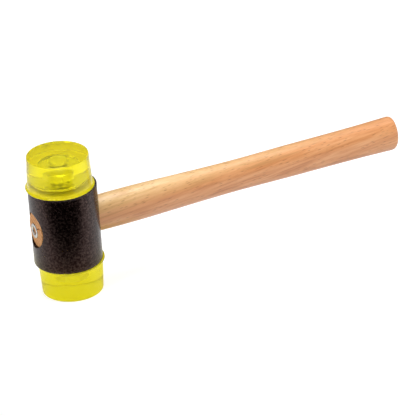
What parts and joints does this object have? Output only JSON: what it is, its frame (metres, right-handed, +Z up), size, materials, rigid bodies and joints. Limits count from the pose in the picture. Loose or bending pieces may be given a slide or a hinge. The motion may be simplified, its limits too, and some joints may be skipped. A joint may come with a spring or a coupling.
{
  "type": "plastic mallet",
  "caption": "Soft-face mallet: black steel head with screw-in clear yellow plastic striking faces, on an oval beech handle held in a cross eye by a ring wedge.",
  "frame": {"origin": "on the axis of the head body, in the plane of the lower striking face, on which the mallet stands", "axes": "+Z up along the axis of the head, +X along the handle from the head to the butt"},
  "size_m": [0.2975, 0.05, 0.109],
  "materials": {
    "black_powder_coat": "satin black powder coat with a fine stipple",
    "beech": "shaped, sanded and lacquered beech",
    "galvanised_steel": "dull galvanised",
    "yellow_plastic": "clear yellow moulded plastic, glossy",
    "zinc_plated_steel": "bright zinc plated"
  },
  "bodies": {
    "mallet": {"head_body": "black_powder_coat", "handle": "beech", "ring_wedge": "galvanised_steel"},
    "upper_rise": {"upper_bolt_washer": "zinc_plated_steel"},
    "upper_screw": {"upper_face": "yellow_plastic", "upper_face_bolt": "zinc_plated_steel"},
    "lower_rise": {"lower_bolt_washer": "zinc_plated_steel"},
    "lower_screw": {"lower_face": "yellow_plastic", "lower_face_bolt": "zinc_plated_steel"}
  },
  "joints": [
    {"name": "upper_face_rise", "type": "slide", "parent": "mallet", "child": "upper_rise", "axis": [0, 0, 1], "range_m": [0, 0.01]},
    {"name": "upper_face_turn", "type": "hinge", "parent": "upper_rise", "child": "upper_screw", "pos_m": [-0.00145, 0, 0.0842], "axis": [0, 0, 1], "range_deg": [0, 2880]},
    {"name": "lower_face_rise", "type": "slide", "parent": "mallet", "child": "lower_rise", "axis": [0, 0, -1], "range_m": [0, 0.01]},
    {"name": "lower_face_turn", "type": "hinge", "parent": "lower_rise", "child": "lower_screw", "pos_m": [0.00145, 0, 0.0248], "axis": [0, 0, -1], "range_deg": [0, 2880]}
  ],
  "couplings": [
    {"joint": "upper_face_rise", "follows": "upper_face_turn", "m_per_rad": 0.00019894},
    {"joint": "lower_face_rise", "follows": "lower_face_turn", "m_per_rad": 0.00019894}
  ]
}
